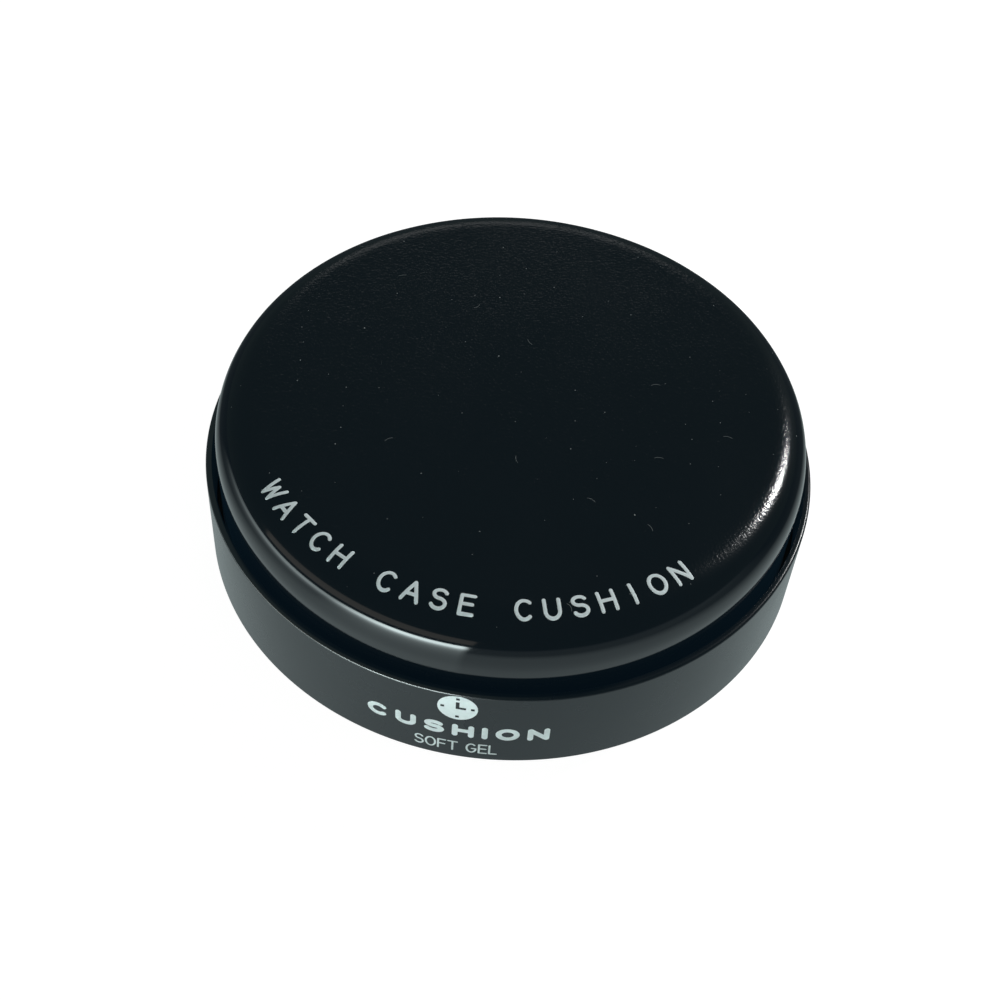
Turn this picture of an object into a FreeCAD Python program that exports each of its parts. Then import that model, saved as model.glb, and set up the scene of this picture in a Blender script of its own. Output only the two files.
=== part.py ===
"""Gel casing cushion: a soft, gel-filled pad in a turned aluminium base.

The pad is a unit of its own. Its skin is gripped between a backing disc and a clamp ring, the gel
is poured in through the disc and closed with a plug, and an O-ring holds the unit in the base.
Everything is turned about Z. The origin is the centre of the foot, on the bench. Millimetres.
"""

import FreeCAD
import Part
import math
import os

# Base
BASE_DIAMETER = 75.0
BASE_HEIGHT = 13.0  # bench to rim
BORE_DIAMETER = 73.3
BASE_LIFT = 0.1  # the metal stands this far off the bench, on its foot
FLOOR_THICKNESS = 3.0
RIM_OUTER_FILLET = 0.4
RIM_INNER_FILLET = 0.15
BASE_FOOT_FILLET = 0.3
BORE_CORNER_FILLET = 0.3

# Foot ring, sunk in a groove under the base
FOOT_OUTER_DIAMETER = 66.0
FOOT_INNER_DIAMETER = 48.0
FOOT_GROOVE_DEPTH = 1.0
FOOT_SIDE_GAP = 0.1
FOOT_FILLET = 0.15

# Pad: the outside of the skin
PAD_DIAMETER = 72.0
PAD_SHOULDER_Z = 16.2  # where the straight side ends and the rounded edge begins
PAD_EDGE_REACH = 4.0  # how far in the rounded edge runs
PAD_EDGE_RISE = 5.8  # how far up it runs, to the flat top
SKIN_THICKNESS = 1.0
SKIN_HEEL_FILLET = 0.6

# Clamp ring and the skin's collar inside it
SLIDING_CLEARANCE = 0.06  # clamp ring to bore, per side
RING_HEIGHT = 3.5
RING_LIP_THICKNESS = 0.5
RING_LIP_INNER_DIAMETER = 62.0
RING_WALL = 2.1
COLLAR_THICKNESS = 0.8
GRIP_GAP = 0.05  # around the collar, disc, gel and plug
RING_FILLET = 0.2
RING_HEEL_FILLET = 0.5  # clears the fillet in the bottom of the bore

# O-ring
O_RING_SECTION = 1.0
CLOSE_GAP = 0.02  # left between two pieces that really press on each other

# Backing disc and filler plug
DISC_THICKNESS = 2.5
PLUG_SHANK_DIAMETER = 8.0
PLUG_HEAD_DIAMETER = 11.0
PLUG_HEAD_THICKNESS = 1.0

# Derived places
BASE_R = BASE_DIAMETER / 2
BORE_R = BORE_DIAMETER / 2
FLOOR_TOP_Z = BASE_LIFT + FLOOR_THICKNESS
PAD_R = PAD_DIAMETER / 2
RING_BOTTOM_Z = FLOOR_TOP_Z + CLOSE_GAP
RING_TOP_Z = RING_BOTTOM_Z + RING_HEIGHT
RING_OUTER_R = BORE_R - SLIDING_CLEARANCE
RING_INNER_R = RING_OUTER_R - RING_WALL
LIP_TOP_Z = RING_BOTTOM_Z + RING_LIP_THICKNESS
COLLAR_OUTER_R = RING_INNER_R - GRIP_GAP
COLLAR_INNER_R = COLLAR_OUTER_R - COLLAR_THICKNESS
DISC_R = COLLAR_INNER_R - GRIP_GAP
DISC_BOTTOM_Z = LIP_TOP_Z
DISC_TOP_Z = DISC_BOTTOM_Z + DISC_THICKNESS
HEEL_Z = RING_TOP_Z + GRIP_GAP

PARTS_DIR = "parts"


def point(r, z):
    """A point of a lathe profile, in the XZ plane."""
    return FreeCAD.Vector(r, 0, z)


def corner_edges(corners):
    """Closed outline through (r, z, fillet) corners: straight runs joined by tangent arcs."""
    starts, ends, arcs = [], [], []
    count = len(corners)
    for i in range(count):
        before = point(*corners[i - 1][:2])
        here = point(*corners[i][:2])
        after = point(*corners[(i + 1) % count][:2])
        fillet = corners[i][2]
        back, forward = (before - here).normalize(), (after - here).normalize()
        if fillet == 0:
            starts.append(here)
            ends.append(here)
            arcs.append(None)
            continue
        half_angle = back.getAngle(forward) / 2
        setback = fillet / math.tan(half_angle)
        bisector = (back + forward).normalize()
        middle = here + bisector * (fillet / math.sin(half_angle) - fillet)
        starts.append(here + back * setback)
        ends.append(here + forward * setback)
        arcs.append(Part.Arc(starts[-1], middle, ends[-1]).toShape())
    edges = []
    for i in range(count):
        if arcs[i]:
            edges.append(arcs[i])
        edges.append(Part.LineSegment(ends[i], starts[(i + 1) % count]).toShape())
    return edges


def turn(edges):
    """The solid that a closed outline makes when it is turned once about Z."""
    face = Part.Face(Part.Wire(Part.sortEdges(edges)[0]))
    return face.revolve(FreeCAD.Vector(0, 0, 0), FreeCAD.Vector(0, 0, 1), 360)


def turned(corners):
    """The turned solid of a (r, z, fillet) outline."""
    return turn(corner_edges(corners))


def lines(points):
    """Straight edges from each point to the next."""
    return [Part.LineSegment(a, b).toShape() for a, b in zip(points, points[1:])]


def rounded_edge(inset):
    """Quarter-ellipse edge of the pad, this far inside the skin's outer face, and its top end."""
    centre = point(PAD_R - PAD_EDGE_REACH, PAD_SHOULDER_Z)
    reach, rise = PAD_EDGE_REACH - inset, PAD_EDGE_RISE - inset
    side_end = centre + point(reach, 0)
    top_end = centre + point(0, rise)
    ellipse = Part.Ellipse(top_end, side_end, centre)
    from_angle, to_angle = sorted((ellipse.parameter(side_end), ellipse.parameter(top_end)))
    if to_angle - from_angle > math.pi:
        from_angle, to_angle = to_angle, from_angle + 2 * math.pi
    return Part.ArcOfEllipse(ellipse, from_angle, to_angle).toShape(), top_end


def base_cup():
    """Turned cup: floor, thin wall and, underneath, a groove for the foot ring."""
    groove_outer_r, groove_inner_r = FOOT_OUTER_DIAMETER / 2, FOOT_INNER_DIAMETER / 2
    groove_top_z = BASE_LIFT + FOOT_GROOVE_DEPTH
    return turned(
        [
            (0, BASE_LIFT, 0),
            (groove_inner_r, BASE_LIFT, 0),
            (groove_inner_r, groove_top_z, 0),
            (groove_outer_r, groove_top_z, 0),
            (groove_outer_r, BASE_LIFT, 0),
            (BASE_R, BASE_LIFT, BASE_FOOT_FILLET),
            (BASE_R, BASE_HEIGHT, RIM_OUTER_FILLET),
            (BORE_R, BASE_HEIGHT, RIM_INNER_FILLET),
            (BORE_R, FLOOR_TOP_Z, BORE_CORNER_FILLET),
            (0, FLOOR_TOP_Z, 0),
        ]
    )


def foot_ring():
    """Non-slip ring that stands proud of the metal and meets the bench."""
    outer_r = FOOT_OUTER_DIAMETER / 2 - FOOT_SIDE_GAP
    inner_r = FOOT_INNER_DIAMETER / 2 + FOOT_SIDE_GAP
    top_z = BASE_LIFT + FOOT_GROOVE_DEPTH
    return turned(
        [
            (inner_r, 0, FOOT_FILLET),
            (outer_r, 0, FOOT_FILLET),
            (outer_r, top_z, 0),
            (inner_r, top_z, 0),
        ]
    )


def clamp_ring():
    """L-section ring under and around the skin's collar, with the O-ring's groove outside."""
    groove_r = BORE_R - O_RING_SECTION - 2 * CLOSE_GAP
    groove_mid_z = (RING_BOTTOM_Z + RING_TOP_Z) / 2
    groove_half = O_RING_SECTION / 2 + CLOSE_GAP
    return turned(
        [
            (RING_LIP_INNER_DIAMETER / 2, RING_BOTTOM_Z, 0),
            (RING_OUTER_R, RING_BOTTOM_Z, RING_HEEL_FILLET),
            (RING_OUTER_R, groove_mid_z - groove_half, 0),
            (groove_r, groove_mid_z - groove_half, 0),
            (groove_r, groove_mid_z + groove_half, 0),
            (RING_OUTER_R, groove_mid_z + groove_half, 0),
            (RING_OUTER_R, RING_TOP_Z, RING_FILLET),
            (RING_INNER_R, RING_TOP_Z, 0),
            (RING_INNER_R, LIP_TOP_Z, 0),
            (RING_LIP_INNER_DIAMETER / 2, LIP_TOP_Z, 0),
        ]
    )


def retaining_o_ring():
    """Round-section rubber ring that grips the bore."""
    section_r = O_RING_SECTION / 2
    middle_r = BORE_R - CLOSE_GAP - section_r
    return Part.makeTorus(
        middle_r, section_r, point(0, (RING_BOTTOM_Z + RING_TOP_Z) / 2), FreeCAD.Vector(0, 0, 1)
    )


def backing_disc():
    """Stiff disc that closes the pad, with a stepped filling hole in the middle."""
    shank_r, head_r = PLUG_SHANK_DIAMETER / 2, PLUG_HEAD_DIAMETER / 2
    step_z = DISC_BOTTOM_Z + PLUG_HEAD_THICKNESS
    return turned(
        [
            (head_r, DISC_BOTTOM_Z, 0),
            (DISC_R, DISC_BOTTOM_Z, 0),
            (DISC_R, DISC_TOP_Z, RING_FILLET),
            (shank_r, DISC_TOP_Z, 0),
            (shank_r, step_z, 0),
            (head_r, step_z, 0),
        ]
    )


def gel_fill_plug():
    """Headed plug that seals the filling hole from below."""
    shank_r = PLUG_SHANK_DIAMETER / 2 - GRIP_GAP
    head_r = PLUG_HEAD_DIAMETER / 2 - GRIP_GAP
    step_z = DISC_BOTTOM_Z + PLUG_HEAD_THICKNESS - GRIP_GAP
    return turned(
        [
            (0, DISC_BOTTOM_Z, 0),
            (head_r, DISC_BOTTOM_Z, 0),
            (head_r, step_z, 0),
            (shank_r, step_z, 0),
            (shank_r, DISC_TOP_Z, 0),
            (0, DISC_TOP_Z, 0),
        ]
    )


def cushion_skin():
    """Soft moulded cap: flat top, rounded edge, straight side, and a collar to clamp."""
    outer_edge, outer_top = rounded_edge(0)
    inner_edge, inner_top = rounded_edge(SKIN_THICKNESS)
    inner_r = PAD_R - SKIN_THICKNESS
    shelf_z = HEEL_Z + SKIN_THICKNESS
    side_end = point(PAD_R, PAD_SHOULDER_Z)
    heel_side = point(PAD_R, HEEL_Z + SKIN_HEEL_FILLET)
    heel_under = point(PAD_R - SKIN_HEEL_FILLET, HEEL_Z)
    heel_slant = SKIN_HEEL_FILLET * (1 - math.sqrt(0.5))
    heel_middle = point(PAD_R - heel_slant, HEEL_Z + heel_slant)
    side = [side_end, heel_side]
    run = [
        heel_under,
        point(COLLAR_OUTER_R, HEEL_Z),
        point(COLLAR_OUTER_R, LIP_TOP_Z + GRIP_GAP),
        point(COLLAR_INNER_R, LIP_TOP_Z + GRIP_GAP),
        point(COLLAR_INNER_R, shelf_z),
        point(inner_r, shelf_z),
        point(inner_r, PAD_SHOULDER_Z),
    ]
    top = [inner_top, point(0, inner_top.z), point(0, outer_top.z), outer_top]
    heel = Part.Arc(heel_side, heel_middle, heel_under).toShape()
    return turn(lines(side) + lines(run) + lines(top) + [inner_edge, outer_edge, heel])


def gel_core():
    """The gel, filling the skin down to the backing disc."""
    fill = SKIN_THICKNESS + CLOSE_GAP
    edge, edge_top = rounded_edge(fill)
    side_r = PAD_R - fill
    shelf_z = HEEL_Z + fill
    run = [
        point(side_r, PAD_SHOULDER_Z),
        point(side_r, shelf_z),
        point(DISC_R, shelf_z),
        point(DISC_R, DISC_TOP_Z + GRIP_GAP),
        point(0, DISC_TOP_Z + GRIP_GAP),
        point(0, edge_top.z),
        edge_top,
    ]
    return turn(lines(run) + [edge])


PIECES = {
    "base_cup": base_cup,
    "foot_ring": foot_ring,
    "clamp_ring": clamp_ring,
    "retaining_o_ring": retaining_o_ring,
    "backing_disc": backing_disc,
    "gel_fill_plug": gel_fill_plug,
    "cushion_skin": cushion_skin,
    "gel_core": gel_core,
}


def main():
    os.makedirs(PARTS_DIR, exist_ok=True)
    for name, make in PIECES.items():
        solid = make()
        if solid.ShapeType != "Solid" or not solid.isValid() or solid.Volume <= 0:
            raise ValueError(f"{name} is not a sound solid")
        solid.exportStep(os.path.join(PARTS_DIR, f"{name}.step"))
        print(f"{name}: {solid.Volume:.0f} mm3")


main()
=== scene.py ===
"""The looks of the gel casing cushion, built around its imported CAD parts.

Metres, in the frame of the CAD: +Z up, the origin on the bench under the middle, the printed
marks towards -Y. Bearings are degrees from +Y, clockwise seen from above.
"""

import math

import bmesh
import bpy
from mathutils import Matrix, Vector, noise
from mathutils.bvhtree import BVHTree


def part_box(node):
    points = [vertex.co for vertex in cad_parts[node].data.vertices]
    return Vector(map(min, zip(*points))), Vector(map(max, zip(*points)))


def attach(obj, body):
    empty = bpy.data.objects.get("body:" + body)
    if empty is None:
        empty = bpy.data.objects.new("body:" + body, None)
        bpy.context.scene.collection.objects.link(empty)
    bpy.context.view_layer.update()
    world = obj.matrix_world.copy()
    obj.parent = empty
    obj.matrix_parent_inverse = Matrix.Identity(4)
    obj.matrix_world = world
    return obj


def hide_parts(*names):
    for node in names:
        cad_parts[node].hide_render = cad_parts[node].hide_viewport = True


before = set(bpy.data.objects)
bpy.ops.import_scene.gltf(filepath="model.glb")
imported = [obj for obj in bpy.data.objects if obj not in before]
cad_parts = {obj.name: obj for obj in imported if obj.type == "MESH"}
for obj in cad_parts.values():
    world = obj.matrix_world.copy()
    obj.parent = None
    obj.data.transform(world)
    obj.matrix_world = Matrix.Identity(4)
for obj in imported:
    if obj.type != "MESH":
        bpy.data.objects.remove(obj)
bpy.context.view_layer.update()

MM = 0.001

# Places read from the CAD
BASE_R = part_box("base_cup")[1].x
RIM_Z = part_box("base_cup")[1].z
PAD_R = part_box("cushion_skin")[1].x
TOP_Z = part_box("cushion_skin")[1].z
COLLAR_BOTTOM_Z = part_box("cushion_skin")[0].z
BASE_BOTTOM_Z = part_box("base_cup")[0].z
CLAMP_BOTTOM_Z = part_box("clamp_ring")[0].z
CLAMP_TOP_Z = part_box("clamp_ring")[1].z
O_RING_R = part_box("retaining_o_ring")[1].x
FOOT_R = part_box("foot_ring")[1].x
FOOT_TOP_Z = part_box("foot_ring")[1].z
DISC_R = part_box("backing_disc")[1].x

# The base, as in the CAD
CLOSE_GAP = 0.02 * MM
BORE_R = O_RING_R + CLOSE_GAP
BASE_FLOOR_Z = CLAMP_BOTTOM_Z - CLOSE_GAP
FOOT_SIDE_GAP = 0.1 * MM
FOOT_INNER_R = 24.0 * MM
RIM_OUTER_FILLET = 0.4 * MM
RIM_INNER_FILLET = 0.15 * MM
BASE_FOOT_FILLET = 0.3 * MM
BORE_CORNER_FILLET = 0.3 * MM

# The clamp ring, as in the CAD
CLAMP_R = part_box("clamp_ring")[1].x
CLAMP_WALL = 2.1 * MM
CLAMP_LIP_THICKNESS = 0.5 * MM
CLAMP_LIP_R = 31.0 * MM
CLAMP_FILLET = 0.2 * MM
CLAMP_HEEL_FILLET = 0.5 * MM
O_RING_SECTION = 1.0 * MM

# The skin, as in the CAD
CAD_EDGE_REACH = 4.0 * MM
EDGE_RISE = 5.8 * MM
SKIN_THICKNESS = 1.0 * MM
COLLAR_THICKNESS = 0.8 * MM
GRIP_GAP = 0.05 * MM
HEEL_FILLET = 0.6 * MM
SHOULDER_Z = TOP_Z - EDGE_RISE
HEEL_Z = CLAMP_TOP_Z + GRIP_GAP

# The skin's own life: its edge rolls over more gently than the CAD's, and its top is a little uneven
EDGE_REACH = 5.5 * MM
EDGE_POWER = 2.5
FLAT_R = PAD_R - EDGE_REACH
CROWN = 0.15 * MM
SIDE_BULGE = 0.08 * MM
TOP_TILT = math.radians(-0.2)
WOBBLE = 0.03 * MM
WOBBLE_LENGTH = 9 * MM
SEGMENTS = 256
TOP_RINGS = 18
EDGE_STEPS = 32
SIDE_STEPS = 12
HEEL_STEPS = 6
SKIN_SHARP_ANGLE = 50  # degrees

# Camera
CAMERA_DISTANCE = 211.2 * MM
CAMERA_ELEVATION = math.radians(50.18)
CAMERA_PAN = math.radians(0.20)
CAMERA_TILT = math.radians(-0.42)
CAMERA_ROLL = math.radians(5.04)
SENSOR_WIDTH = 36.0
FOCAL_LENGTH = 58.2
CLIP_START = 10 * MM
CLIP_END = 20.0


# ---------------------------------------------------------------- mesh helpers

FILLET_STEPS = 8
SHARP_ANGLE = 35  # degrees


def smooth_share(low, high, value):
    """0 below low, 1 above high, and a smooth rise between."""
    t = min(1.0, max(0.0, (value - low) / (high - low)))
    return t * t * (3 - 2 * t)


def new_object(name, bm, sharp_angle=SHARP_ANGLE):
    """An object from a bmesh, smooth except where its faces meet at more than the angle."""
    bmesh.ops.recalc_face_normals(bm, faces=bm.faces)
    mesh = bpy.data.meshes.new(name)
    bm.to_mesh(mesh)
    bm.free()
    mesh.shade_smooth()
    mesh.set_sharp_from_angle(angle=math.radians(sharp_angle))
    obj = bpy.data.objects.new(name, mesh)
    bpy.context.scene.collection.objects.link(obj)
    return obj


def lathe(profile, place, ring=False):
    """A closed turned mesh. The profile starts and ends on the axis, or for a ring it closes on
    itself. place(point, bearing) says where a profile point lies at a bearing."""
    bm = bmesh.new()
    rings = []
    for entry in profile:
        if entry[0] == 0:
            rings.append([bm.verts.new(place(entry, 0))])
            continue
        angles = (2 * math.pi * k / SEGMENTS for k in range(SEGMENTS))
        rings.append([bm.verts.new(place(entry, angle)) for angle in angles])
    for upper, lower in zip(rings, rings[1:] + (rings[:1] if ring else [])):
        for k in range(SEGMENTS):
            after = (k + 1) % SEGMENTS
            if len(upper) == 1:
                bm.faces.new((upper[0], lower[after], lower[k]))
            elif len(lower) == 1:
                bm.faces.new((upper[k], upper[after], lower[0]))
            else:
                bm.faces.new((upper[k], upper[after], lower[after], lower[k]))
    return bm


def rounded(corners):
    """Profile points through (radius, height, fillet) corners, with an arc at each fillet."""
    points = []
    for k, (r, z, fillet) in enumerate(corners):
        if fillet == 0:
            points.append((r, z))
            continue
        here = Vector((r, z))
        back = (Vector(corners[k - 1][:2]) - here).normalized()
        forward = (Vector(corners[k + 1][:2]) - here).normalized()
        half = back.angle(forward) / 2
        centre = here + (back + forward).normalized() * (fillet / math.sin(half))
        start = back * (fillet / math.tan(half)) + here - centre
        end = forward * (fillet / math.tan(half)) + here - centre
        for step in range(FILLET_STEPS + 1):
            spoke = start.lerp(end, step / FILLET_STEPS).normalized() * fillet
            points.append(tuple(centre + spoke))
    return points


def plain_place(entry, angle):
    """Where a profile point lies on a truly turned piece."""
    r, z = entry
    return Vector((r * math.cos(angle), r * math.sin(angle), z))


def even_normals(obj):
    """Keeps broad flat faces flat in the light, right up to their fillets."""
    obj.modifiers.new("even_normals", "WEIGHTED_NORMAL").keep_sharp = True


# ---------------------------------------------------------------- the base


def make_base():
    """The turned cup, with finer arcs than the CAD's mesh."""
    groove_outer_r = FOOT_R + FOOT_SIDE_GAP
    corners = [
        (0, BASE_FLOOR_Z, 0),
        (BORE_R, BASE_FLOOR_Z, BORE_CORNER_FILLET),
        (BORE_R, RIM_Z, RIM_INNER_FILLET),
        (BASE_R, RIM_Z, RIM_OUTER_FILLET),
        (BASE_R, BASE_BOTTOM_Z, BASE_FOOT_FILLET),
        (groove_outer_r, BASE_BOTTOM_Z, 0),
        (groove_outer_r, FOOT_TOP_Z, 0),
        (FOOT_INNER_R, FOOT_TOP_Z, 0),
        (FOOT_INNER_R, BASE_BOTTOM_Z, 0),
        (0, BASE_BOTTOM_Z, 0),
    ]
    base = new_object("base_turned", lathe(rounded(corners), plain_place))
    even_normals(base)
    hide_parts("base_cup")
    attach(base, "base")
    return base


def make_clamp_ring():
    """The ring round the skin's collar, with finer arcs than the CAD's mesh."""
    middle_z = (CLAMP_BOTTOM_Z + CLAMP_TOP_Z) / 2
    groove_half = O_RING_SECTION / 2 + CLOSE_GAP
    groove_r = O_RING_R - O_RING_SECTION - CLOSE_GAP
    lip_top_z = CLAMP_BOTTOM_Z + CLAMP_LIP_THICKNESS
    corners = [
        (CLAMP_LIP_R, CLAMP_BOTTOM_Z, 0),
        (CLAMP_R, CLAMP_BOTTOM_Z, CLAMP_HEEL_FILLET),
        (CLAMP_R, middle_z - groove_half, 0),
        (groove_r, middle_z - groove_half, 0),
        (groove_r, middle_z + groove_half, 0),
        (CLAMP_R, middle_z + groove_half, 0),
        (CLAMP_R, CLAMP_TOP_Z, CLAMP_FILLET),
        (CLAMP_R - CLAMP_WALL, CLAMP_TOP_Z, 0),
        (CLAMP_R - CLAMP_WALL, lip_top_z, 0),
        (CLAMP_LIP_R, lip_top_z, 0),
    ]
    bm = lathe(rounded(corners), plain_place, ring=True)
    ring = new_object("clamp_ring_turned", bm)
    even_normals(ring)
    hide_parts("clamp_ring")
    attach(ring, "pad")
    return ring


# ---------------------------------------------------------------- the pad's skin


def skin_outside():
    """The outer face as (radius, height, normal outwards, normal up), from the top's middle."""
    points = [(FLAT_R * k / TOP_RINGS, TOP_Z, 0, 1) for k in range(TOP_RINGS)]
    for k in range(EDGE_STEPS + 1):
        turn = math.pi / 2 * k / EDGE_STEPS
        share = math.sin(turn) ** (2 / EDGE_POWER)
        slope = EDGE_POWER * share ** (EDGE_POWER - 1) / (2 * EDGE_REACH)
        normal = Vector((slope, math.cos(turn) / EDGE_RISE)).normalized()
        z = SHOULDER_Z + EDGE_RISE * math.cos(turn)
        points.append((FLAT_R + EDGE_REACH * share, z, normal.x, normal.y))
    heel_top = HEEL_Z + HEEL_FILLET
    for k in range(1, SIDE_STEPS + 1):
        points.append((PAD_R, SHOULDER_Z + (heel_top - SHOULDER_Z) * k / SIDE_STEPS, 1, 0))
    for k in range(1, HEEL_STEPS + 1):
        turn = math.pi / 2 * k / HEEL_STEPS
        r = PAD_R - HEEL_FILLET * (1 - math.cos(turn))
        points.append((r, heel_top - HEEL_FILLET * math.sin(turn), math.cos(turn), -math.sin(turn)))
    return points


def skin_inside():
    """The collar and the inner face, from the underside up to the axis."""
    collar_inner = DISC_R + GRIP_GAP
    shelf_z = HEEL_Z + SKIN_THICKNESS
    reach, rise = CAD_EDGE_REACH - SKIN_THICKNESS, EDGE_RISE - SKIN_THICKNESS
    points = [
        (collar_inner + COLLAR_THICKNESS, HEEL_Z),
        (collar_inner + COLLAR_THICKNESS, COLLAR_BOTTOM_Z),
        (collar_inner, COLLAR_BOTTOM_Z),
        (collar_inner, shelf_z),
        (PAD_R - SKIN_THICKNESS, shelf_z),
    ]
    for k in range(EDGE_STEPS + 1):
        turn = math.pi / 2 * (1 - k / EDGE_STEPS)
        r = PAD_R - CAD_EDGE_REACH + reach * math.sin(turn)
        points.append((r, SHOULDER_Z + rise * math.cos(turn)))
    points.append((0, TOP_Z - SKIN_THICKNESS))
    return points


def skin_place(entry, angle):
    """Where a profile point of the skin lies: the outer face is crowned, tilted and uneven."""
    r, z = entry[:2]
    point = Vector((r * math.cos(angle), r * math.sin(angle), z))
    if len(entry) == 2:
        return point
    outwards, upwards = entry[2:]
    free = smooth_share(RIM_Z, TOP_Z, z)
    normal = Vector((math.cos(angle) * outwards, math.sin(angle) * outwards, upwards))
    point += normal * WOBBLE * free * noise.noise(point / WOBBLE_LENGTH)
    if r < FLAT_R:
        point.z += CROWN * (1 - (r / FLAT_R) ** 2) ** 2
    bulge = smooth_share(RIM_Z - SIDE_BULGE, SHOULDER_Z, z) * outwards
    point += normal * SIDE_BULGE * bulge
    point.z -= math.tan(TOP_TILT) * point.x * free
    return point


def make_skin():
    """The closed skin that takes the place of the CAD's."""
    bm = lathe(skin_outside() + skin_inside(), skin_place)
    skin = new_object("pad_skin", bm, SKIN_SHARP_ANGLE)
    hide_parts("cushion_skin")
    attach(skin, "pad")
    return skin


# ---------------------------------------------------------------- printed marks

TOP_INK = (0.80, 0.90, 0.93)
SIDE_INK = (0.92, 0.98, 0.98)
INK_THICKNESS = 0.02 * MM
STRIP = 0.25 * MM
DOUBLED = 0.01 * MM

TOP_WORDS = "WATCH CASE CUSHION"
TOP_BASELINE_R = 33.1 * MM
TOP_CAP_HEIGHT = 2.7 * MM
TOP_STROKE = 0.43 * MM
TOP_PITCH = math.radians(5.56)
TOP_MIDDLE = math.radians(-8.5)

SIDE_MIDDLE = -3.3 * MM
EMBLEM_Z = 10.35 * MM
EMBLEM_R = 2.3 * MM
HAND_WIDTH = 0.42 * MM
LONG_HAND = 0.5 * EMBLEM_R
SHORT_HAND = 0.42 * EMBLEM_R
TICK_END = 0.84 * EMBLEM_R
TICK_START = TICK_END - 0.42 * MM
WORD = "CUSHION"
WORD_BASELINE_Z = 4.6 * MM
WORD_CAP_HEIGHT = 2.4 * MM
WORD_STROKE = 0.68 * MM
WORD_STRETCH = 1.5
WORD_WIDTH = 21.3 * MM
LINE = "SOFT GEL"
LINE_BASELINE_Z = 1.45 * MM
LINE_CAP_HEIGHT = 1.95 * MM
LINE_STROKE = 0.24 * MM
LINE_WIDTH = 9.7 * MM
LINE_STRETCH = 0.8
WORD_SPACE = 0.35  # as a share of the capital height
STROKE_SIDES = 8
STROKE_STEP = 0.2 * MM
ARC_STEP = 12  # degrees
CAP_ANGLES = [math.radians(degrees) for degrees in (25, 50, 72, 86)]


def arc(x, y, reach_x, reach_y, start, end):
    """Points of an elliptical arc, in shares of the capital height and degrees."""
    steps = max(2, round(abs(end - start) / ARC_STEP))
    angles = [math.radians(start + (end - start) * k / steps) for k in range(steps + 1)]
    return [(x + reach_x * math.cos(a), y + reach_y * math.sin(a)) for a in angles]


# Each letter as its width and its strokes, in shares of the capital height
LETTERS = {
    "A": (0.80, [[(0, 0), (0.4, 1)], [(0.4, 1), (0.8, 0)], [(0.13, 0.33), (0.67, 0.33)]]),
    "C": (0.74, [arc(0.39, 0.5, 0.39, 0.5, 48, 312)]),
    "E": (0.62, [[(0, 0), (0, 1)], [(0, 1), (0.62, 1)], [(0, 0.52), (0.56, 0.52)], [(0, 0), (0.62, 0)]]),
    "F": (0.60, [[(0, 0), (0, 1)], [(0, 1), (0.60, 1)], [(0, 0.52), (0.54, 0.52)]]),
    "G": (0.78, [arc(0.39, 0.5, 0.39, 0.5, 48, 335) + [(0.76, 0.46)], [(0.76, 0.46), (0.45, 0.46)]]),
    "H": (0.72, [[(0, 0), (0, 1)], [(0.72, 0), (0.72, 1)], [(0, 0.52), (0.72, 0.52)]]),
    "I": (0.00, [[(0, 0), (0, 1)]]),
    "L": (0.58, [[(0, 1), (0, 0)], [(0, 0), (0.58, 0)]]),
    "N": (0.72, [[(0, 0), (0, 1)], [(0, 1), (0.72, 0)], [(0.72, 0), (0.72, 1)]]),
    "O": (0.80, [arc(0.4, 0.5, 0.4, 0.5, 0, 360)]),
    "S": (0.68, [arc(0.34, 0.76, 0.31, 0.24, 25, 270) + arc(0.34, 0.26, 0.34, 0.26, 90, -155)]),
    "T": (0.74, [[(0, 1), (0.74, 1)], [(0.37, 1), (0.37, 0)]]),
    "U": (0.70, [[(0, 1)] + arc(0.35, 0.36, 0.35, 0.36, 180, 360) + [(0.70, 1)]]),
    "W": (
        0.92,
        [
            [(0, 1), (0.22, 0)],
            [(0.22, 0), (0.46, 0.8)],
            [(0.46, 0.8), (0.70, 0)],
            [(0.70, 0), (0.92, 1)],
        ],
    ),
}


def resample(points, step):
    """The same polyline with no two points further apart than the step."""
    result = [points[0]]
    for a, b in zip(points, points[1:]):
        count = max(1, math.ceil((b - a).length / step))
        result += [a.lerp(b, k / count) for k in range(1, count + 1)]
    return result


def add_stroke(bm, points, half_width):
    """A flat pen stroke with round ends. Its height runs from -1 to 1, for draping later."""
    points = resample(points, STROKE_STEP)
    closed = (points[0] - points[-1]).length < half_width / 10
    if closed:
        points = points[:-1]
    count = len(points)
    stations = []
    for k, point in enumerate(points):
        before = points[k - 1] if k > 0 or closed else point
        after = points[(k + 1) % count] if k < count - 1 or closed else point
        along = (after - before).normalized()
        stations.append((point, along, half_width))
    if not closed:
        first, last = stations[0], stations[-1]
        for a in CAP_ANGLES:
            width, reach = half_width * math.cos(a), half_width * math.sin(a)
            stations.insert(0, (first[0] - first[1] * reach, first[1], width))
            stations.append((last[0] + last[1] * reach, last[1], width))
    turns = [2 * math.pi * k / STROKE_SIDES for k in range(STROKE_SIDES)]
    rings = []
    for point, along, width in stations:
        side = Vector((along.y, -along.x, 0)) * width
        up = Vector((0, 0, width / half_width))
        rings.append([bm.verts.new(point + side * math.cos(t) + up * math.sin(t)) for t in turns])
    pairs = list(zip(rings, rings[1:])) + ([(rings[-1], rings[0])] if closed else [])
    for one, two in pairs:
        for k in range(STROKE_SIDES):
            after = (k + 1) % STROKE_SIDES
            bm.faces.new((one[k], one[after], two[after], two[k]))
    if not closed:
        bm.faces.new(rings[0])
        bm.faces.new(reversed(rings[-1]))


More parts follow.
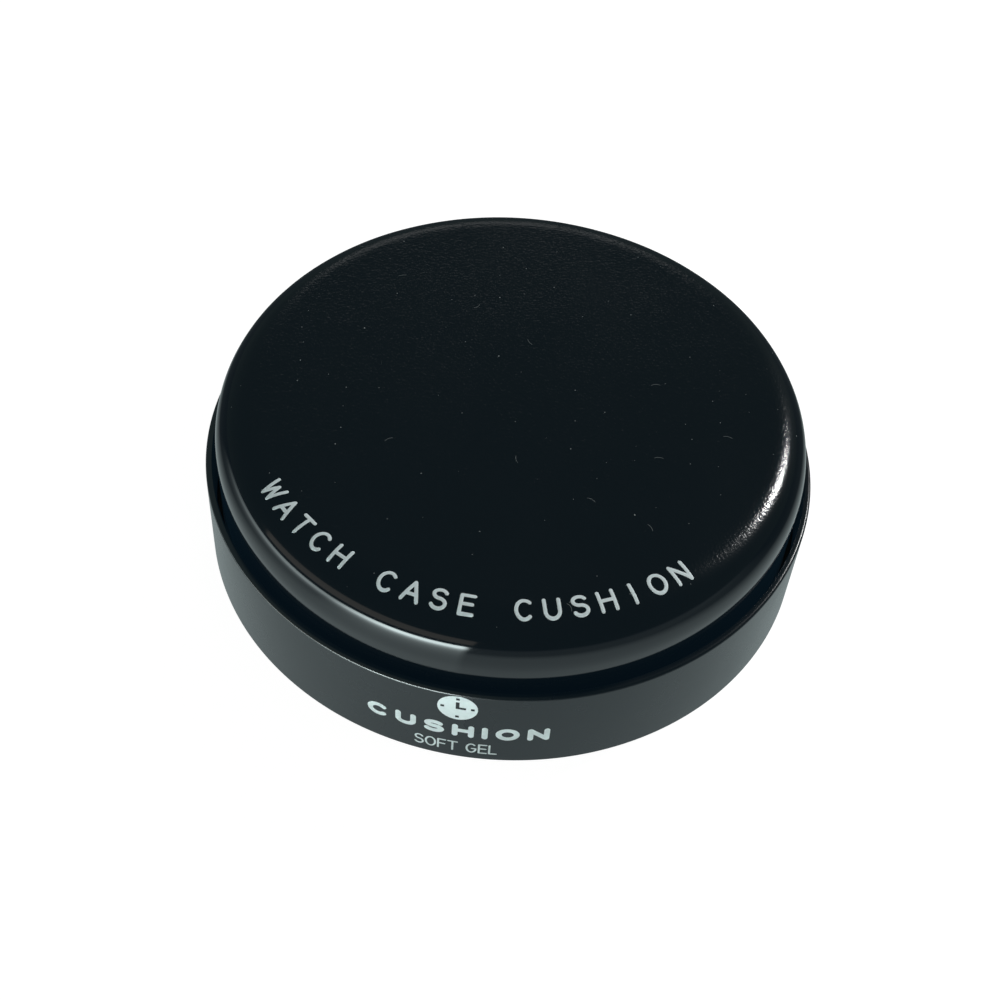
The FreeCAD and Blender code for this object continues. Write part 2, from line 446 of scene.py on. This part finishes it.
def add_letter(bm, letter, height, stroke, stretch, move):
    """A letter centred on x = 0 with its foot on y = 0, then moved. Only its strokes' heights stay."""
    width, strokes = LETTERS[letter]
    start = len(bm.verts)
    inner = height - stroke
    for points in strokes:
        placed = [
            Vector(((x - width / 2) * inner * stretch, stroke / 2 + y * inner, 0)) for x, y in points
        ]
        add_stroke(bm, placed, stroke / 2)
    bm.verts.ensure_lookup_table()
    for vert in bm.verts[start:]:
        height_share = vert.co.z
        vert.co = move @ Vector((vert.co.x, vert.co.y, 0))
        vert.co.z = height_share


def curve_solid(curve):
    """A filled curve as a bmesh, with its doubled points joined."""
    holder = bpy.data.objects.new("lettering", curve)
    bpy.context.scene.collection.objects.link(holder)
    graph = bpy.context.evaluated_depsgraph_get()
    mesh = bpy.data.meshes.new_from_object(holder.evaluated_get(graph))
    bm = bmesh.new()
    bm.from_mesh(mesh)
    bmesh.ops.remove_doubles(bm, verts=bm.verts, dist=DOUBLED)
    bpy.data.objects.remove(holder)
    bpy.data.curves.remove(curve)
    bpy.data.meshes.remove(mesh)
    return bm


def cut_into_strips(bm, step):
    """Cuts the mesh across X at even steps, so that it can follow a curved face."""
    across = Vector((1, 0, 0))
    places = [vert.co.x for vert in bm.verts]
    position, last = min(places) + step, max(places)
    while position < last:
        geometry = bm.verts[:] + bm.edges[:] + bm.faces[:]
        bmesh.ops.bisect_plane(bm, geom=geometry, plane_co=across * position, plane_no=across)
        position += step


def make_top_marking(skin):
    """One letter at each step of an arc, upright towards the middle of the pad."""
    bm = bmesh.new()
    for k, letter in enumerate(TOP_WORDS):
        if letter != " ":
            bearing = TOP_MIDDLE + TOP_PITCH * (k - (len(TOP_WORDS) - 1) / 2)
            move = Matrix.Rotation(bearing, 4, "Z") @ Matrix.Translation((0, -TOP_BASELINE_R, 0))
            add_letter(bm, letter, TOP_CAP_HEIGHT, TOP_STROKE, 1, move)
    tree = BVHTree.FromObject(skin, bpy.context.evaluated_depsgraph_get())
    down = Vector((0, 0, -1))
    for vert in bm.verts:
        above = Vector((vert.co.x, vert.co.y, TOP_Z + EDGE_RISE))
        vert.co.z = tree.ray_cast(above, down)[0].z + INK_THICKNESS * vert.co.z
    return finish_mark(bm, "top_marking", "pad")


def wrap_on_wall(bm):
    """Bends flat marks (x along the wall, y up, z from -1 to 1) round the base's wall."""
    for vert in bm.verts:
        radius = BASE_R + INK_THICKNESS * vert.co.z
        angle = vert.co.x / BASE_R
        vert.co = Vector((radius * math.sin(angle), -radius * math.cos(angle), vert.co.y))


def make_wall_words(name, words, baseline_z, height, stroke, stretch, width):
    """A line of lettering round the wall, its letters evenly apart over the whole width."""
    spans = []
    for letter in words:
        if letter == " ":
            spans.append(WORD_SPACE * height)
        else:
            spans.append(LETTERS[letter][0] * (height - stroke) * stretch + stroke)
    gap = (width - sum(spans)) / (len(words) - 1)
    bm = bmesh.new()
    left = SIDE_MIDDLE - width / 2
    for letter, span in zip(words, spans):
        if letter != " ":
            move = Matrix.Translation((left + span / 2, baseline_z, 0))
            add_letter(bm, letter, height, stroke, stretch, move)
        left += span + gap
    wrap_on_wall(bm)
    return finish_mark(bm, name, "base")


def add_outline(curve, points):
    """A closed flat outline. One inside another cuts a hole."""
    spline = curve.splines.new("POLY")
    spline.points.add(len(points) - 1)
    for target, (x, y) in zip(spline.points, points):
        target.co = (x, y, 0, 1)
    spline.use_cyclic_u = True


def make_emblem():
    """A plain watch dial: a disc with four marks and two hands cut out of it."""
    curve = bpy.data.curves.new("dial", "CURVE")
    curve.dimensions = "2D"
    curve.fill_mode = "BOTH"
    curve.extrude = 1.0
    add_outline(curve, arc(0, 0, EMBLEM_R, EMBLEM_R, 0, 354))
    half = HAND_WIDTH / 2
    for quarter in range(4):
        turn = Matrix.Rotation(math.pi / 2 * quarter, 2)
        corners = ((-half, TICK_START), (half, TICK_START), (half, TICK_END), (-half, TICK_END))
        add_outline(curve, [turn @ Vector(corner) for corner in corners])
    hands = (
        (-half, -half),
        (SHORT_HAND, -half),
        (SHORT_HAND, half),
        (half, half),
        (half, LONG_HAND),
        (-half, LONG_HAND),
    )
    add_outline(curve, hands)
    bm = curve_solid(curve)
    bmesh.ops.translate(bm, vec=(SIDE_MIDDLE, EMBLEM_Z, 0), verts=bm.verts)
    cut_into_strips(bm, STRIP)
    wrap_on_wall(bm)
    return finish_mark(bm, "side_emblem", "base")


def finish_mark(bm, name, body):
    """A mark of ink that rides on the body."""
    mark = new_object(name, bm)
    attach(mark, body)
    return mark


# ---------------------------------------------------------------- materials


# The sockets of a Mix node that carry colours
MIX_COLOUR_A = 6
MIX_COLOUR_B = 7
MIX_COLOUR_RESULT = 2


class Nodes:
    """A material's node tree, with short calls for adding and joining nodes."""

    def __init__(self, name):
        self.material = bpy.data.materials.new(name)
        self.material.use_nodes = True
        self.tree = self.material.node_tree
        self.shader = self.tree.nodes["Principled BSDF"]
        self.place = self.add("ShaderNodeTexCoord").outputs["Object"]

    def add(self, kind, inputs=None, **settings):
        """A new node, with its settings and its inputs as values or as links."""
        node = self.tree.nodes.new(kind)
        for key, value in settings.items():
            setattr(node, key, value)
        for key, value in (inputs or {}).items():
            self.put(node.inputs[key], value)
        return node

    def put(self, socket, value):
        if isinstance(value, bpy.types.NodeSocket):
            self.tree.links.new(value, socket)
        else:
            socket.default_value = value

    def set(self, **values):
        """Sets the shader's inputs. An underscore in a name stands for a space."""
        for key, value in values.items():
            self.put(self.shader.inputs[key.replace("_", " ")], value)

    def noise(self, size, detail=2.0):
        """Noise between about 0 and 1, with lumps of this size in metres."""
        inputs = {"Vector": self.place, "Scale": 1 / size, "Detail": detail, "Roughness": 0.5}
        return self.add("ShaderNodeTexNoise", inputs).outputs["Fac"]

    def spread(self, value, low, high, to_low=0.0, to_high=1.0):
        """The value taken from one range to another, and held at its ends."""
        inputs = {"Value": value, "From Min": low, "From Max": high, "To Min": to_low, "To Max": to_high}
        return self.add("ShaderNodeMapRange", inputs).outputs["Result"]

    def math(self, operation, a, b=0.0):
        return self.add("ShaderNodeMath", {0: a, 1: b}, operation=operation).outputs[0]

    def mix(self, share, a, b):
        """A colour between a and b."""
        node = self.add("ShaderNodeMix", {"Factor": share}, data_type="RGBA")
        self.put(node.inputs[MIX_COLOUR_A], a)
        self.put(node.inputs[MIX_COLOUR_B], b)
        return node.outputs[MIX_COLOUR_RESULT]

    def bump(self, height, depth):
        inputs = {"Height": height, "Distance": depth, "Strength": 1.0}
        self.set(Normal=self.add("ShaderNodeBump", inputs).outputs["Normal"])

    def length(self, vector):
        return self.add("ShaderNodeVectorMath", {0: vector}, operation="LENGTH").outputs["Value"]

    def height_above(self):
        return self.add("ShaderNodeSeparateXYZ", {0: self.place}).outputs["Z"]


def colour(r, g, b):
    return (r, g, b, 1.0)


def grey(value):
    return colour(value, value, value)


# Painted light: a faint blue glow on the black materials stands in for stray light in the lens, which
# lifts the darkest blacks
PAINTED_GLOW = {"Emission_Color": colour(0.2, 0.6, 1.0), "Emission_Strength": 0.0068}


# The skin's finish changes with the depth below its top
MATT_ABOVE = TOP_Z - 0.6 * MM
GLOSSY_BELOW = TOP_Z - 2.2 * MM
GRAINED_ABOVE = TOP_Z - 0.1 * MM
SMOOTH_BELOW = TOP_Z - 0.75 * MM
SKIN_GRAIN = 0.32 * MM
SKIN_GRAIN_DEPTH = 0.055 * MM
GLOSSY_ROUGHNESS = 0.07
MATT_ROUGHNESS = (0.08, 0.12)  # added on top of the glossy roughness
SKIN_BLACK = 0.0008
DUST_COLOUR = (0.30, 0.33, 0.33)


def skin_material():
    """Soft black skin: finely grained on top, smooth and glossy round the edge and down the side."""
    n = Nodes("soft_skin")
    matt_share = n.spread(n.height_above(), GLOSSY_BELOW, MATT_ABOVE)
    grain_share = n.spread(n.height_above(), SMOOTH_BELOW, GRAINED_ABOVE)
    grain = n.noise(SKIN_GRAIN)
    patches = n.noise(14 * MM)
    roughness = n.math("MULTIPLY_ADD", matt_share, n.spread(patches, 0.35, 0.65, *MATT_ROUGHNESS))
    n.put(roughness.node.inputs[2], GLOSSY_ROUGHNESS)
    marks = n.math("MULTIPLY", n.math("MAXIMUM", specks(n), fibres(n)), matt_share)
    n.set(
        Base_Color=n.mix(marks, grey(SKIN_BLACK), colour(*DUST_COLOUR)),
        Roughness=roughness,
        IOR=1.45,
        # painted light: a faint blue glow on the black skin
        **PAINTED_GLOW,
    )
    n.bump(n.math("MULTIPLY", grain, grain_share), SKIN_GRAIN_DEPTH)
    return n.material


# Dust and lint lie in cells, and only some cells hold one. A pair is the least and the most, or
# where an edge starts to fade and where it ends
SPECK_CELL = 3.4 * MM
SPECK_SHARE = 0.35
SPECK_R = (0.04 * MM, 0.11 * MM)
SPECK_STRENGTH = (0.25, 1)
FIBRE_CELL = 8 * MM
FIBRE_SHARE = 0.3
FIBRE_BEND = (-0.6 / MM, 0.6 / MM)
FIBRE_EDGE = (0.01 * MM, 0.045 * MM)
FIBRE_END = (0.45 * MM, 0.6 * MM)
FIBRE_STRENGTH = 0.45


def scattered(n, size, share):
    """Flat cells of this size, seen from above: the way from each cell's middle, a random colour
    for the cell, and whether it is one of the share that holds something."""
    inputs = {"Vector": n.place, "Scale": 1 / size}
    cells = n.add("ShaderNodeTexVoronoi", inputs, voronoi_dimensions="2D")
    away = n.add("ShaderNodeVectorMath", {0: n.place, 1: cells.outputs["Position"]}, operation="SUBTRACT")
    random = n.add("ShaderNodeSeparateColor", {"Color": cells.outputs["Color"]})
    return away.outputs["Vector"], random, n.math("LESS_THAN", random.outputs["Red"], share)


def specks(n):
    """Share of dust: small specks of uneven size."""
    away, random, chosen = scattered(n, SPECK_CELL, SPECK_SHARE)
    flat = n.add("ShaderNodeVectorMath", {0: away, 1: (1, 1, 0)}, operation="MULTIPLY")
    distance = n.length(flat.outputs["Vector"])
    reach = n.spread(random.outputs["Green"], 0, 1, *SPECK_R)
    inside = n.math("SUBTRACT", 1, n.math("DIVIDE", distance, reach))
    strength = n.spread(random.outputs["Blue"], 0, 1, *SPECK_STRENGTH)
    return n.math("MULTIPLY", n.math("MULTIPLY", n.spread(inside, 0, 0.5), strength), chosen)


def fibres(n):
    """Share of lint: short thin hairs, each bent a little."""
    away, random, chosen = scattered(n, FIBRE_CELL, FIBRE_SHARE)
    angle = n.math("MULTIPLY", random.outputs["Green"], 2 * math.pi)
    turned = n.add("ShaderNodeVectorRotate", {"Vector": away, "Angle": angle}, rotation_type="Z_AXIS")
    place = n.add("ShaderNodeSeparateXYZ", {0: turned.outputs["Vector"]}).outputs
    bend = n.spread(random.outputs["Blue"], 0, 1, *FIBRE_BEND)
    bow = n.math("MULTIPLY", n.math("MULTIPLY", place["X"], place["X"]), bend)
    aside = n.math("ABSOLUTE", n.math("SUBTRACT", place["Y"], bow))
    across = n.spread(aside, *FIBRE_EDGE, FIBRE_STRENGTH, 0)
    along = n.spread(n.math("ABSOLUTE", place["X"]), *FIBRE_END, 1, 0)
    return n.math("MULTIPLY", n.math("MULTIPLY", across, along), chosen)


# The base's rim is polished left of the middle, and satin to the right of it
RIM_LAND = RIM_Z - 0.25 * MM
BELOW_RIM = RIM_Z - 0.4 * MM
POLISH_FULL_X = -4 * MM
POLISH_END_X = 8 * MM
ANODISED_COLOURS = ((0.0020, 0.0025, 0.0025), (0.0035, 0.0040, 0.0040))
SATIN_ROUGHNESS = (0.26, 0.30)
SATIN_IOR = 1.38
POLISHED_IOR = 2.0
POLISHED_ROUGHNESS = 0.5  # as a share of the satin roughness


def anodised_material():
    """Black anodised aluminium, blasted fine: a satin sheen with a trace of grain, and a rim that
    is polished on the left."""
    n = Nodes("black_anodised")
    grain = n.noise(0.07 * MM)
    patches = n.noise(9 * MM, detail=3)
    place = n.add("ShaderNodeSeparateXYZ", {0: n.place}).outputs
    rim = n.spread(place["Z"], BELOW_RIM, RIM_LAND)
    polish = n.math("MULTIPLY", rim, n.spread(place["X"], POLISH_FULL_X, POLISH_END_X, 1, 0))
    satin = n.spread(patches, 0.3, 0.7, *SATIN_ROUGHNESS)
    darker, lighter = ANODISED_COLOURS
    n.set(
        Base_Color=n.mix(patches, colour(*darker), colour(*lighter)),
        Roughness=n.math("MULTIPLY", satin, n.spread(polish, 0, 1, 1, POLISHED_ROUGHNESS)),
        IOR=n.spread(polish, 0, 1, SATIN_IOR, POLISHED_IOR),
        # painted light: a faint blue glow on the black anodising
        **PAINTED_GLOW,
    )
    n.bump(grain, 0.004 * MM)
    return n.material


def ink_material(name, shade):
    """Thin print with a faintly uneven coat."""
    n = Nodes(name)
    coat = n.noise(0.4 * MM, detail=3)
    darker = colour(*(0.86 * value for value in shade))
    n.set(Base_Color=n.mix(coat, darker, colour(*shade)), Roughness=n.spread(coat, 0, 1, 0.4, 0.55))
    n.bump(coat, 0.003 * MM)
    return n.material


def rubber_material(name, shade):
    """Matt moulded rubber with a fine pebbled face."""
    n = Nodes(name)
    pebbles = n.noise(0.35 * MM, detail=3)
    n.set(
        Base_Color=n.mix(pebbles, grey(0.8 * shade), grey(shade)),
        Roughness=n.spread(pebbles, 0, 1, 0.6, 0.8),
    )
    n.bump(pebbles, 0.03 * MM)
    return n.material


def turned_plastic_material(name, shade):
    """Black plastic with the fine rings that turning leaves."""
    n = Nodes(name)
    inputs = {"Vector": n.place, "Scale": 1 / (1.5 * MM), "Distortion": 0.3, "Detail": 2.0}
    rings = n.add("ShaderNodeTexWave", inputs, wave_type="RINGS", rings_direction="Z").outputs["Fac"]
    patches = n.noise(5 * MM)
    n.set(
        Base_Color=n.mix(patches, grey(0.8 * shade), grey(shade)),
        Roughness=n.spread(rings, 0, 1, 0.35, 0.5),
    )
    n.bump(rings, 0.01 * MM)
    return n.material


def gel_material():
    """Milky gel, clouded a little."""
    n = Nodes("gel")
    clouds = n.noise(4 * MM)
    n.set(
        Base_Color=n.mix(clouds, colour(0.42, 0.46, 0.48), colour(0.55, 0.58, 0.6)),
        Roughness=n.spread(clouds, 0, 1, 0.15, 0.25),
        Transmission_Weight=0.4,
        IOR=1.41,
    )
    return n.material


def paint(obj, material):
    """Gives a piece or a CAD node one material on all its faces."""
    obj.data.materials.clear()
    obj.data.materials.append(material)


def paint_cad_nodes():
    """Materials for the pieces that keep the CAD's mesh."""
    foot_rubber = rubber_material("foot_rubber", 0.03)
    ring_rubber = rubber_material("o_ring_rubber", 0.02)
    coats = {
        "foot_ring": foot_rubber,
        "retaining_o_ring": ring_rubber,
        "gel_fill_plug": ring_rubber,
        "backing_disc": turned_plastic_material("disc_plastic", 0.045),
        "gel_core": gel_material(),
    }
    for name, material in coats.items():
        paint(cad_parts[name], material)


# ---------------------------------------------------------------- stage, lights and camera

FLOOR_HALF = 3.0
FLOOR_DROP = 0.02 * MM
FLOOR_SEEN = 0.97
FLOOR_SHADE = 0.18  # how much of the lights and shadows the floor shows the camera
FLOOR_ROUGHNESS = 0.9

# Painted light: the table as reflections see it, an emission with no lamp behind it. Bearings here are
# degrees from -Y, towards +X
TABLE_COLOUR = (0.85, 1.0, 1.0)
TABLE_FAR = 0.05
TABLE_NEAR = 0.52
NEAR_MIDDLE_Y = -25 * MM
NEAR_REACH = (52 * MM, 82 * MM)
TABLE_FRONT = 0.26
FRONT_DEPTH = 80 * MM
FRONT_FADE = (200 * MM, 600 * MM)
FRONT_LEFT_OVER = 0.2
GLARE_MOST = 20.0
GLARE_POWER = 4
GLARE_GROWTH = 15.0 / (150 * MM) ** GLARE_POWER
GLARE_END = (330 * MM, 400 * MM)
WINDOW_EDGE = (-6.5, -8.5)
WINDOW_FADE = (-30, -50)
WINDOW_LEFT_OVER = 0.22
WINDOW_SIDE = (-60, -105)


def table_light(n):
    """Painted light: how brightly the table glows to all but the camera: bright beside the object and
    in front of it, with a painted glare standing in for a low window further off to the front left."""
    place = n.add("ShaderNodeSeparateXYZ", {0: n.place}).outputs
    shift = (0, -NEAR_MIDDLE_Y, 0)
    shifted = n.add("ShaderNodeVectorMath", {0: n.place, 1: shift}, operation="ADD")
    away = n.length(n.place)
    near = n.spread(n.length(shifted.outputs["Vector"]), *NEAR_REACH, TABLE_NEAR, 0)
    front = n.spread(place["Y"], 0, -FRONT_DEPTH, 0, TABLE_FRONT)
    front = n.math("MULTIPLY", front, n.spread(away, *FRONT_FADE, 1, FRONT_LEFT_OVER))
    bearing = n.math("ARCTAN2", place["X"], n.math("MULTIPLY", place["Y"], -1))
    edge = n.spread(bearing, *map(math.radians, WINDOW_EDGE))
    fade = n.spread(bearing, *map(math.radians, WINDOW_FADE), 1, WINDOW_LEFT_OVER)
    side = n.spread(bearing, *map(math.radians, WINDOW_SIDE))
    window = n.math("MULTIPLY", n.math("MULTIPLY", edge, fade), n.math("SUBTRACT", 1, side))
    growth = n.math("MULTIPLY", n.math("POWER", away, GLARE_POWER), GLARE_GROWTH)
    growth = n.math("MINIMUM", growth, GLARE_MOST)
    glare = n.math("MULTIPLY", n.math("MULTIPLY", growth, window), n.spread(away, *GLARE_END, 1, 0))
    return n.math("ADD", n.math("ADD", n.math("ADD", near, front), glare), TABLE_FAR)


def make_floor():
    """A plain pale floor to the camera, and the table's painted light to everything else."""
    bm = bmesh.new()
    corners = ((-1, -1), (1, -1), (1, 1), (-1, 1))
    bm.faces.new([bm.verts.new((x * FLOOR_HALF, y * FLOOR_HALF, -FLOOR_DROP)) for x, y in corners])
    floor = new_object("floor", bm)
    n = Nodes("floor")
    n.set(
        Base_Color=grey(FLOOR_SHADE),
        Roughness=FLOOR_ROUGHNESS,
        Emission_Color=grey(1),
        Emission_Strength=FLOOR_SEEN,
    )
    # Painted light: the table's glow, an emission that only reflections and bounced light see
    table = n.add("ShaderNodeEmission", {"Color": colour(*TABLE_COLOUR), "Strength": table_light(n)})
    seen = n.add("ShaderNodeLightPath").outputs["Is Camera Ray"]
    both = n.add("ShaderNodeMixShader", {0: seen, 1: table.outputs[0], 2: n.shader.outputs[0]})
    n.put(n.tree.nodes["Material Output"].inputs["Surface"], both.outputs[0])
    paint(floor, n.material)


ROOM_COLOUR = (0.80, 1.0, 0.88)
ROOM_STRENGTH = 0.09


def make_world():
    """A dim room for the object to reflect, behind a pale backdrop that only the camera sees."""
    world = bpy.data.worlds.new("studio")
    bpy.context.scene.world = world
    world.use_nodes = True
    tree = world.node_tree
    tree.nodes.clear()
    room = tree.nodes.new("ShaderNodeBackground")
    room.inputs["Color"].default_value = colour(*ROOM_COLOUR)
    room.inputs["Strength"].default_value = ROOM_STRENGTH
    backdrop = tree.nodes.new("ShaderNodeBackground")
    backdrop.inputs["Color"].default_value = grey(1)
    path = tree.nodes.new("ShaderNodeLightPath")
    mix = tree.nodes.new("ShaderNodeMixShader")
    output = tree.nodes.new("ShaderNodeOutputWorld")
    tree.links.new(path.outputs["Is Camera Ray"], mix.inputs["Fac"])
    tree.links.new(room.outputs["Background"], mix.inputs[1])
    tree.links.new(backdrop.outputs["Background"], mix.inputs[2])
    tree.links.new(mix.outputs["Shader"], output.inputs["Surface"])


# Each light's bearing, elevation, distance, width and height, radiance and colour
LIGHTS = {
    "window_right": (58, 31, 0.8, (0.09, 0.09), 190, (1, 1, 1)),
    "wall_behind": (-4, 23, 1.0, (0.5, 0.1), 1.3, (1, 1, 1)),
    "wall_left": (-136, 9, 0.7, (1.1, 0.16), 0.65, (1.0, 0.9, 0.78)),
    "ceiling": (180, 78, 1.2, (1.2, 1.2), 0.42, (1, 1, 1)),
}
NOT_MIRRORED = ("ceiling",)


def make_soft_box(name, bearing, elevation, distance, size, radiance, shade):
    """A rectangular light that faces the pad, and that the camera doesn't see."""
    width, height = size
    light = bpy.data.lights.new(name, "AREA")
    light.shape = "RECTANGLE"
    light.size, light.size_y = width, height
    light.energy = radiance * math.pi * width * height
    light.color = shade
    b, e = math.radians(bearing), math.radians(elevation)
    direction = Vector((math.sin(b) * math.cos(e), math.cos(b) * math.cos(e), math.sin(e)))
    holder = bpy.data.objects.new(name, light)
    holder.location = Vector((0, 0, TOP_Z)) + direction * distance
    holder.rotation_mode = "QUATERNION"
    holder.rotation_quaternion = (-direction).to_track_quat("-Z", "Y")
    holder.visible_camera = False
    holder.visible_glossy = name not in NOT_MIRRORED
    bpy.context.scene.collection.objects.link(holder)


def make_camera():
    """The photograph's point of view."""
    camera = bpy.data.objects.new("camera", bpy.data.cameras.new("camera"))
    camera.data.sensor_width = SENSOR_WIDTH
    camera.data.lens = FOCAL_LENGTH
    camera.data.clip_start = CLIP_START
    camera.data.clip_end = CLIP_END
    back = Vector((0, -math.cos(CAMERA_ELEVATION), math.sin(CAMERA_ELEVATION)))
    camera.matrix_world = (
        Matrix.Translation(back * CAMERA_DISTANCE)
        @ Matrix.Rotation(math.pi / 2 - CAMERA_ELEVATION, 4, "X")
        @ Matrix.Rotation(CAMERA_PAN, 4, "Y")
        @ Matrix.Rotation(-CAMERA_TILT, 4, "X")
        @ Matrix.Rotation(CAMERA_ROLL, 4, "Z")
    )
    bpy.context.scene.collection.objects.link(camera)
    bpy.context.scene.camera = camera


# ---------------------------------------------------------------- build


def build():
    """Everything in the scene, each piece in its material."""
    make_camera()
    make_floor()
    make_world()
    for name, settings in LIGHTS.items():
        make_soft_box(name, *settings)
    bpy.context.scene.view_settings.view_transform = "Standard"
    skin = make_skin()
    paint(skin, skin_material())
    paint(make_top_marking(skin), ink_material("top_ink", TOP_INK))
    side_ink = ink_material("side_ink", SIDE_INK)
    paint(make_emblem(), side_ink)
    word = (WORD, WORD_BASELINE_Z, WORD_CAP_HEIGHT, WORD_STROKE, WORD_STRETCH, WORD_WIDTH)
    paint(make_wall_words("side_word", *word), side_ink)
    line = (LINE, LINE_BASELINE_Z, LINE_CAP_HEIGHT, LINE_STROKE, LINE_STRETCH, LINE_WIDTH)
    paint(make_wall_words("side_line", *line), side_ink)
    paint(make_base(), anodised_material())
    paint(make_clamp_ring(), turned_plastic_material("turned_plastic", 0.03))
    paint_cad_nodes()


build()
